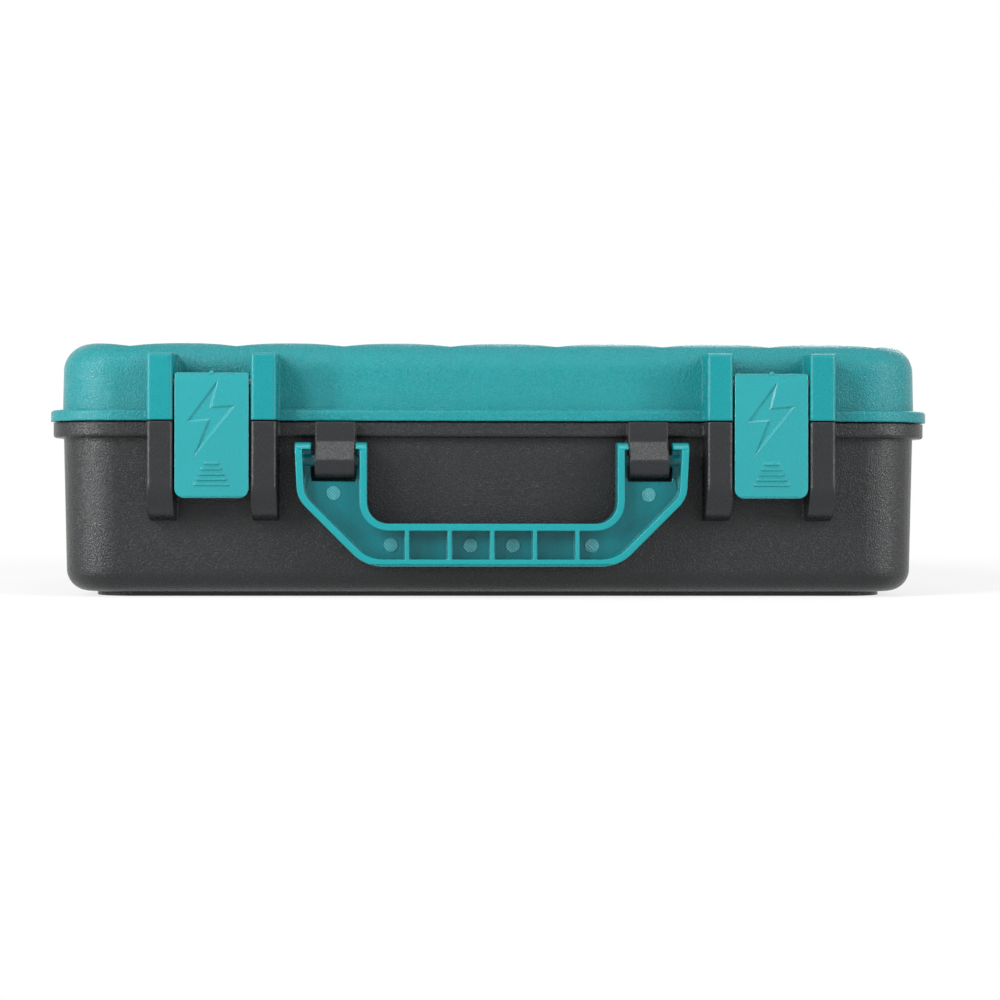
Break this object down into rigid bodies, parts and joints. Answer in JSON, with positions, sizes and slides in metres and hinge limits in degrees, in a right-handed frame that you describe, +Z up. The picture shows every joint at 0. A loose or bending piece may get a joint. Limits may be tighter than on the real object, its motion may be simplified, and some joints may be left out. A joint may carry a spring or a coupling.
{
  "type": "hard tool case",
  "caption": "Moulded tool case with a hinged ribbed lid, draw latches between guard ribs, a swinging bail handle and a pocketed tray.",
  "frame": {"origin": "centre of the underside, on the face that the case rests on", "axes": "+X along the width to the right of someone facing the latches, -Y out of the front, +Z up"},
  "size_m": [0.38, 0.3236, 0.1084],
  "materials": {
    "base": "fine moulded grain",
    "lid": "fine moulded grain",
    "handle": "satin",
    "latch": "satin",
    "pin": "drawn",
    "tray": "matt"
  },
  "bodies": {
    "base": {"base_shell": "base", "hinge_pin_left": "pin", "hinge_pin_right": "pin", "tool_tray": "tray"},
    "lid": {"lid_shell": "lid", "latch_pin_left": "pin", "latch_pin_right": "pin"},
    "latch_l": {"latch_left": "latch"},
    "latch_r": {"latch_right": "latch"},
    "handle": {"handle": "handle"}
  },
  "joints": [
    {"name": "lid_hinge", "type": "hinge", "parent": "base", "child": "lid", "pos_m": [0, 0.1552, 0.0745], "axis": [-1, 0, 0], "range_deg": [0, 105]},
    {"name": "latch_left_hinge", "type": "hinge", "parent": "lid", "child": "latch_l", "pos_m": [-0.117, -0.1554, 0.0906], "axis": [-1, 0, 0], "range_deg": [0, 110]},
    {"name": "latch_right_hinge", "type": "hinge", "parent": "lid", "child": "latch_r", "pos_m": [0.117, -0.1554, 0.0906], "axis": [-1, 0, 0], "range_deg": [0, 110]},
    {"name": "handle_swing", "type": "hinge", "parent": "base", "child": "handle", "pos_m": [0, -0.1534, 0.0579], "axis": [-1, 0, 0], "range_deg": [-5, 90]}
  ]
}
